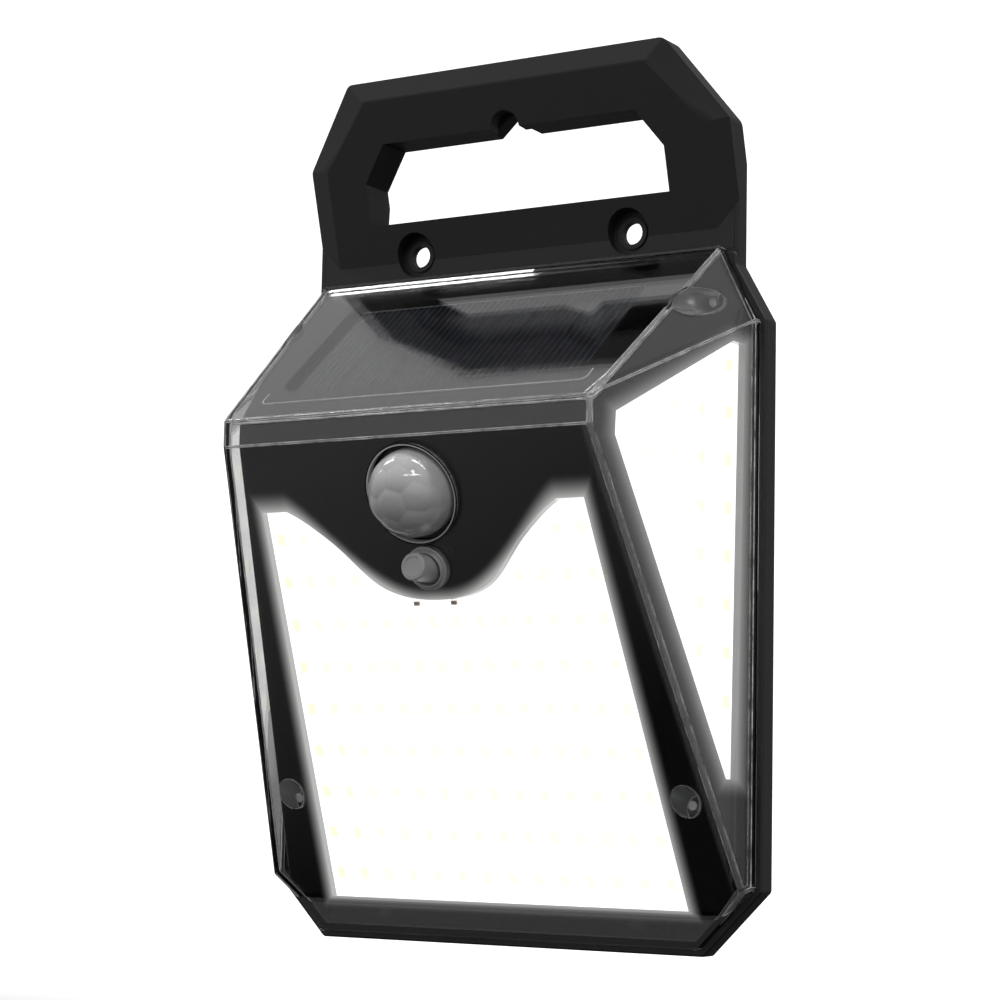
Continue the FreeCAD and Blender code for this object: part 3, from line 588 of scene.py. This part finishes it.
def sensorDome():
    dome = {"height": 114.4, "radius": 11.5, "wall": 0.8, "base": -1.1, "foot": -5.9, "lip": 13.2,
            "lipThick": 1.0, "cellDepth": 0.3, "cellHalf": 20, "cellStart": 0.1, "cellFade": 3}
    cells = [(0, 1, 0), (41, 6, 10), (68, 11, 0), (90, 18, 5)]  # polar angle, number of cells, first angle
    inner = dome["radius"] - dome["wall"]
    lipTop = dome["foot"] + dome["lipThick"]
    profile = arc(inner, (0, dome["base"]), 90, 0, 24)
    profile += [(inner, dome["foot"]), (dome["lip"], dome["foot"]), (dome["lip"], lipTop),
                (dome["radius"], lipTop)]
    profile += arc(dome["radius"], (0, dome["base"]), 0, 90, 56)
    bm = spun(profile, 144)
    centres = []
    for polar, count, first in cells:
        for index in range(count):
            about = math.radians(first + 360 * index / count)
            lean = math.radians(polar)
            centres.append(Vector((math.sin(lean) * math.cos(about), math.sin(lean) * math.sin(about),
                                   math.cos(lean))))
    middle = Vector((0, 0, dome["base"]))
    for vert in bm.verts:
        ray = vert.co - middle
        if ray.length > dome["radius"] - 0.05 and ray.z > dome["cellStart"]:
            ray.normalize()
            near = max(ray.dot(centre) for centre in centres)
            off = math.acos(min(1.0, near)) / math.radians(dome["cellHalf"])
            vert.co -= ray * dome["cellDepth"] * off * off * min(1.0, ray.z * dome["cellFade"])
    bm.transform(frontFacet(dome["height"]))
    return makePiece("sensorDome", bm, "housing", "milky_lens", ["pir_lens"], sharp=55)


def pushButton():
    button = {"radius": 3.6, "round": 0.55, "dish": 0.12, "rim": 1.05, "rimRound": 0.18, "lip": 5.2,
              "lipTop": 1.0, "lipFoot": 0.2, "chamfer": 0.2, "bore": 2.0}
    low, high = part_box("push_button")
    back = (high.y - low.y) / mm
    axisZ = (low.z + high.z) / 2
    radius, lip, chamfer = button["radius"], button["lip"], button["chamfer"]
    # z runs back from the tip
    lipTop, lipFoot = back - button["lipTop"], back - button["lipFoot"]
    rim = radius - button["rim"]
    profile = [(0, button["dish"]), (rim - 0.2, button["dish"])]
    profile += arc(button["rimRound"], (rim, button["dish"]), 250, 330, 4)
    profile += arc(button["round"], (radius - button["round"], button["round"]), -90, 0, 6)
    profile += [(radius, lipTop), (lip - chamfer, lipTop), (lip, lipTop + chamfer),
                (lip, lipFoot - chamfer / 2), (lip - chamfer, lipFoot), (button["bore"], lipFoot),
                (button["bore"], lipTop), (0, lipTop)]
    bm = spun(profile, 64)
    place = Matrix.Translation((0, low.y, axisZ)) @ Matrix.Rotation(math.radians(-90), 4, "X")
    bm.transform(place @ Matrix.Scale(mm, 4))
    bmesh.ops.recalc_face_normals(bm, faces=bm.faces)
    return makePiece("pushButton", bm, "button", "grey_silicone", ["push_button"], sharp=50)


def buttonBoot():
    # thin translucent washer with a raised collar and a groove
    boot = {"height": 96.2, "radius": 5.9, "hole": 4.35, "low": -2.35, "top": 0.35, "collar": 0.35,
            "round": 0.3, "groove": 0.75}
    collarTop = boot["top"] + boot["collar"]
    profile = [(boot["hole"], boot["low"]), (boot["hole"], collarTop)]
    profile += arc(boot["round"], (boot["hole"] + boot["round"], collarTop), 180, 0, 6)
    profile += [(boot["hole"] + boot["groove"], boot["top"])]
    profile += arc(boot["round"], (boot["radius"] - boot["round"], boot["top"] - boot["round"]), 90, 0, 5)
    profile += [(boot["radius"], boot["low"])]
    bm = spun(profile, 72)
    bm.transform(frontFacet(boot["height"]))
    return makePiece("buttonBoot", bm, "housing", "clear_silicone", ["button_boot"], sharp=50)


for piece in (sensorDome(), pushButton(), buttonBoot()):
    print("turned:", piece.name, len(piece.data.polygons))


def panelPlate():
    plate = {"round": 0.6, "segments": 4, "rimAngle": 40}
    bm = cadCopy("solar_panel")
    rim = [edge for edge in bm.edges if math.degrees(edge.calc_face_angle(0.0)) > plate["rimAngle"]]
    bmesh.ops.bevel(bm, geom=rim, offset=plate["round"] * mm, offset_type="OFFSET",
                    segments=plate["segments"], profile=0.5, affect="EDGES", clamp_overlap=True,
                    material=-1, loop_slide=True)
    bm.normal_update()
    flat = flatFaces(bm)
    for face in bm.faces:
        face.material_index = 0 if face in flat else 1
    return makePiece("panelPlate", bm, "housing", "solar_laminate", ["solar_panel"],
                     [looks["solar_laminate"], extra["resinEdge"]])


def panelFingers():
    # thin silver lines up the slope, and two collecting lines across each row
    ink = {"half": 46.0, "pitch": 2.0, "low": 3.0, "high": 47.0, "wide": 0.09, "thick": 0.05, "bus": 0.5,
           "busIn": 0.8, "inset": 4.34}
    bm = bmesh.new()
    count = int(2 * ink["half"] / ink["pitch"])
    middle = (ink["low"] + ink["high"]) / 2
    lines = [(-ink["half"] + index * ink["pitch"], middle, ink["wide"], ink["high"] - ink["low"])
             for index in range(count + 1)]
    for y in (ink["low"] + ink["busIn"], ink["high"] - ink["busIn"]):
        lines.append((0, y, 2 * ink["half"], ink["bus"]))
    level = ink["thick"] / 2 - ink["inset"]
    for x, y, wide, long in lines:
        size = Matrix.Diagonal((wide, long, ink["thick"], 1))
        bmesh.ops.create_cube(bm, size=1.0, matrix=Matrix.Translation((x, y, level)) @ size)
    bm.transform(topFacet(panelFoot))
    return makePiece("panelFingers", bm, "housing", "solar_cell", (), [extra["silverInk"]])


def panelBeadPaintedHighlight():
    # thin clear bead round the foot of the panel, turned up at its ends; it is drawn in light grey as a
    # painted highlight
    bead = {"half": 49.5, "corner": 2.2, "low": -3.4, "rise": 5.0, "radius": 0.22, "inset": 2.35, "sides": 8,
            "steps": 8}
    path = [Vector((-bead["half"], bead["low"] + bead["rise"], 0))]
    for start, side in ((180, -1), (270, 1)):
        centre = Vector((side * (bead["half"] - bead["corner"]), bead["low"] + bead["corner"], 0))
        for step in range(bead["steps"] + 1):
            angle = math.radians(start + 90 * step / bead["steps"])
            path.append(centre + Vector((math.cos(angle), math.sin(angle), 0)) * bead["corner"])
    path.append(Vector((bead["half"], bead["low"] + bead["rise"], 0)))
    place = topFacet(panelFoot) @ Matrix.Translation((0, 0, -bead["inset"]))
    bm = tube(path, bead["radius"], bead["sides"], place)
    return makePiece("panelBeadPaintedHighlight", bm, "housing", "solar_laminate", (), [extra["paintedBrightEdge"]])


def sensorRings():
    # the cover's hole round the dome: a polished lip painted light grey for its lit look, inside a dark line
    # that is painted shade for the gap
    ring = {"height": 114.4, "hole": 13.1, "bright": 0.3, "dark": 0.45, "high": 0.12, "deep": 1.6,
            "chamfer": 0.1, "gap": 0.02, "lift": 0.01, "steps": 96}
    hole, high, chamfer = ring["hole"], ring["high"], ring["chamfer"]
    # painted highlight: the lip is drawn light grey in place of the lit clear wall
    inner = hole - ring["bright"]
    bright = spun([(inner, -ring["deep"]), (hole, -ring["deep"]), (hole, high), (inner + chamfer, high),
                   (inner, high - chamfer)], ring["steps"])
    bright.transform(frontFacet(ring["height"]))
    makePiece("sensorLipPaintedBright", bright, "housing", "clear_plastic", (), [extra["paintedBrightEdge"]])
    # painted shade: a black ring where the gap round the hole lies in shadow
    start = hole + ring["gap"]
    end = start + ring["dark"]
    dark = spun([(start, ring["lift"]), (end, ring["lift"]), (end, high), (start, high)], ring["steps"])
    dark.transform(frontFacet(ring["height"]))
    makePiece("sensorLinePaintedShade", dark, "housing", "gasket_rubber")


panelPlate()
panelFingers()
panelBeadPaintedHighlight()
sensorRings()


def backdrop():
    stageShape = {"half": 4.0, "front": -2.6, "bend": 0.9, "radius": 0.8, "top": 2.6, "drop": 0.06,
                  "glowStart": 0.15, "glowWide": 0.45, "paper": 0.62}
    level = foot - stageShape["drop"]
    bm = bmesh.new()
    ends = [bm.verts.new((side * stageShape["half"], stageShape["front"], level)) for side in (-1, 1)]
    start = bm.edges.new(ends)
    flat = bmesh.ops.extrude_edge_only(bm, edges=[start])["geom"]
    bmesh.ops.translate(bm, verts=[v for v in flat if isinstance(v, bmesh.types.BMVert)],
                        vec=(0, stageShape["bend"] - stageShape["front"], 0))
    last = [v for v in flat if isinstance(v, bmesh.types.BMEdge)]
    swept = bmesh.ops.spin(bm, geom=last, cent=(0, stageShape["bend"], level + stageShape["radius"]),
                           axis=(1, 0, 0), angle=math.pi / 2, steps=24)["geom_last"]
    last = [v for v in swept if isinstance(v, bmesh.types.BMEdge)]
    rise = bmesh.ops.extrude_edge_only(bm, edges=last)["geom"]
    bmesh.ops.translate(bm, verts=[v for v in rise if isinstance(v, bmesh.types.BMVert)],
                        vec=(0, 0, stageShape["top"]))
    bmesh.ops.recalc_face_normals(bm, faces=bm.faces)
    mesh = bpy.data.meshes.new("backdrop")
    bm.to_mesh(mesh)
    bm.free()
    mesh.shade_smooth()
    finish = Finish("paperWithPaintedGlow")
    # painted glow: emission rises from none near the front to full white further back
    away = finish.axes()[1].ramp(stageShape["glowStart"], stageShape["glowWide"])
    finish.set(Base_Color=grey(stageShape["paper"]), Roughness=0.9, Emission_Strength=1.0,
               Emission_Color=finish.blend(away, grey(0), grey(1)))
    mesh.materials.append(finish.block)
    thing = bpy.data.objects.new("backdrop", mesh)
    thing.visible_glossy = False  # the object mirrors and shows the room's light, not the backdrop
    thing.visible_diffuse = False
    thing.visible_transmission = False
    scene.collection.objects.link(thing)


view = {"yaw": 32.096, "pitch": -6.509, "roll": 1.146, "distance": 0.70783,
        "target": (-0.007524, 0, -0.069167), "lens": 93.918, "sensor": 36.0}


def viewFrame():
    yaw, pitch, roll = (math.radians(view[key]) for key in ("yaw", "pitch", "roll"))
    back = Vector((math.sin(yaw) * math.cos(pitch), -math.cos(yaw) * math.cos(pitch), math.sin(pitch)))
    right = Vector((math.cos(yaw), math.sin(yaw), 0))
    up = back.cross(right)
    return right * math.cos(roll) + up * math.sin(roll), up * math.cos(roll) - right * math.sin(roll), back


def makeCamera():
    right, up, back = viewFrame()
    spot = Vector(view["target"]) + back * view["distance"]
    lens = bpy.data.cameras.new("camera")
    lens.lens = view["lens"]
    lens.sensor_width = view["sensor"]
    camera = bpy.data.objects.new("camera", lens)
    camera.matrix_world = Matrix(((right.x, up.x, back.x, spot.x), (right.y, up.y, back.y, spot.y),
                                  (right.z, up.z, back.z, spot.z), (0, 0, 0, 1)))
    scene.collection.objects.link(camera)
    scene.camera = camera


# soft strips seen from the lamp along directions start to end, given as right, up, back of the view
strips = {
    "topStrip": {"start": (-0.04, 0.99, 0.07), "end": (0.42, 0.86, 0.29), "wide": 0.1, "radiance": 22},
    "leftStrip": {"start": (-0.71, 0.55, -0.44), "end": (-0.50, 0.845, -0.18), "wide": 0.09, "radiance": 22},
    "frontDash": {"start": (-0.28, 0.66, 0.69), "end": (0.17, 0.66, 0.69), "wide": 0.04, "radiance": 25},
}
stripReach = 1.2
lampMiddle = (0, 0.02, -0.075)


def stripLight(name, start, end, wide, radiance):
    axes = viewFrame()
    centre = Vector(lampMiddle)
    tips = []
    for direction in (start, end):
        way = sum((axis * part for axis, part in zip(axes, direction)), Vector())
        tips.append(centre + way.normalized() * stripReach)
    middle = (tips[0] + tips[1]) / 2
    long = tips[1] - tips[0]
    away = (middle - centre).normalized()
    along = (long - away * long.dot(away)).normalized()
    side = away.cross(along)
    lamp = bpy.data.lights.new(name, "AREA")
    lamp.shape = "RECTANGLE"
    lamp.size = long.length
    lamp.size_y = wide
    lamp.energy = radiance * math.pi * long.length * wide
    thing = bpy.data.objects.new(name, lamp)
    thing.matrix_world = Matrix(((along.x, side.x, away.x, middle.x), (along.y, side.y, away.y, middle.y),
                                 (along.z, side.z, away.z, middle.z), (0, 0, 0, 1)))
    scene.collection.objects.link(thing)


def roomLight():
    # dark below, brighter in two steps upwards, and dimmer behind the lamp
    light = {"floor": 0.02, "low": 0.16, "high": 0.34, "behind": 0.42, "lowRamp": (-0.63, 0.12),
             "highRamp": (-0.35, 0.45), "behindRamp": (0.4, 0.4)}
    world = bpy.data.worlds.new("room")
    scene.world = world
    room = Finish("room", world)
    y, z = room.axes(room.node("TexCoord", out="Generated"))[1:]
    low = z.ramp(*light["lowRamp"]) * light["low"]
    level = light["floor"] + low + z.ramp(*light["highRamp"]) * light["high"]
    sky = room.tree.nodes["Background"]
    plug(room.tree, sky.inputs["Strength"], level * (1.0 - y.ramp(*light["behindRamp"]) * light["behind"]))
    sky.inputs["Color"].default_value = grey(1)


makeCamera()
backdrop()
roomLight()
for name, strip in strips.items():
    stripLight(name, **strip)
scene.view_settings.view_transform = "Standard"
scene.view_settings.look = "None"
print("stage set")
